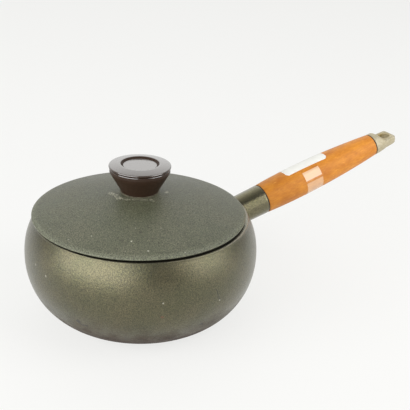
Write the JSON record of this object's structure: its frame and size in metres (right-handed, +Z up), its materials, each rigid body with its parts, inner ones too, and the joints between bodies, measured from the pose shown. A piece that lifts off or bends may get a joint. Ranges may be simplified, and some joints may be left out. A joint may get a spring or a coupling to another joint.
{
  "type": "saucepan",
  "caption": "Round-bellied cast saucepan with a dished-knob domed lid that lifts off, and a tilted wooden handle with a metal ferrule and a flattened hanging end cap.",
  "frame": {"origin": "centre of the pan's flat base, on the surface that the pan stands on", "axes": "+X runs out along the handle, +Z is up along the pan's axis, +Y completes the right-handed frame"},
  "size_m": [0.355, 0.19, 0.1305],
  "materials": {
    "pan_coating": "pebbled satin",
    "ferrule_coating": "satin",
    "lid_coating": "matte",
    "oiled_wood": "oiled",
    "cast_aluminium": "cast, tarnished",
    "knob_resin": "glossy",
    "insert_brass": "turned",
    "steel": "plated",
    "fibre": "matte",
    "gasket_rubber": "aged",
    "label_paper": "matte",
    "tape_film": "glossy"
  },
  "bodies": {
    "pan": {"pan_body": "pan_coating", "handle_ferrule": "ferrule_coating", "tie_rod": "steel", "jam_nut": "steel", "front_washer": "fibre", "wooden_grip": "oiled_wood", "rear_washer": "fibre", "end_cap": "cast_aluminium", "paper_label": "label_paper", "clear_tape": "tape_film"},
    "lid": {"lid_shell": "lid_coating", "lid_knob": "knob_resin", "knob_insert": "insert_brass", "knob_screw": "steel", "knob_screw_washer": "steel", "knob_gasket": "gasket_rubber"}
  },
  "joints": [
    {"name": "lid_lift", "type": "slide", "parent": "pan", "child": "lid", "axis": [0, 0, 1], "range_m": [0, 0.12]}
  ]
}
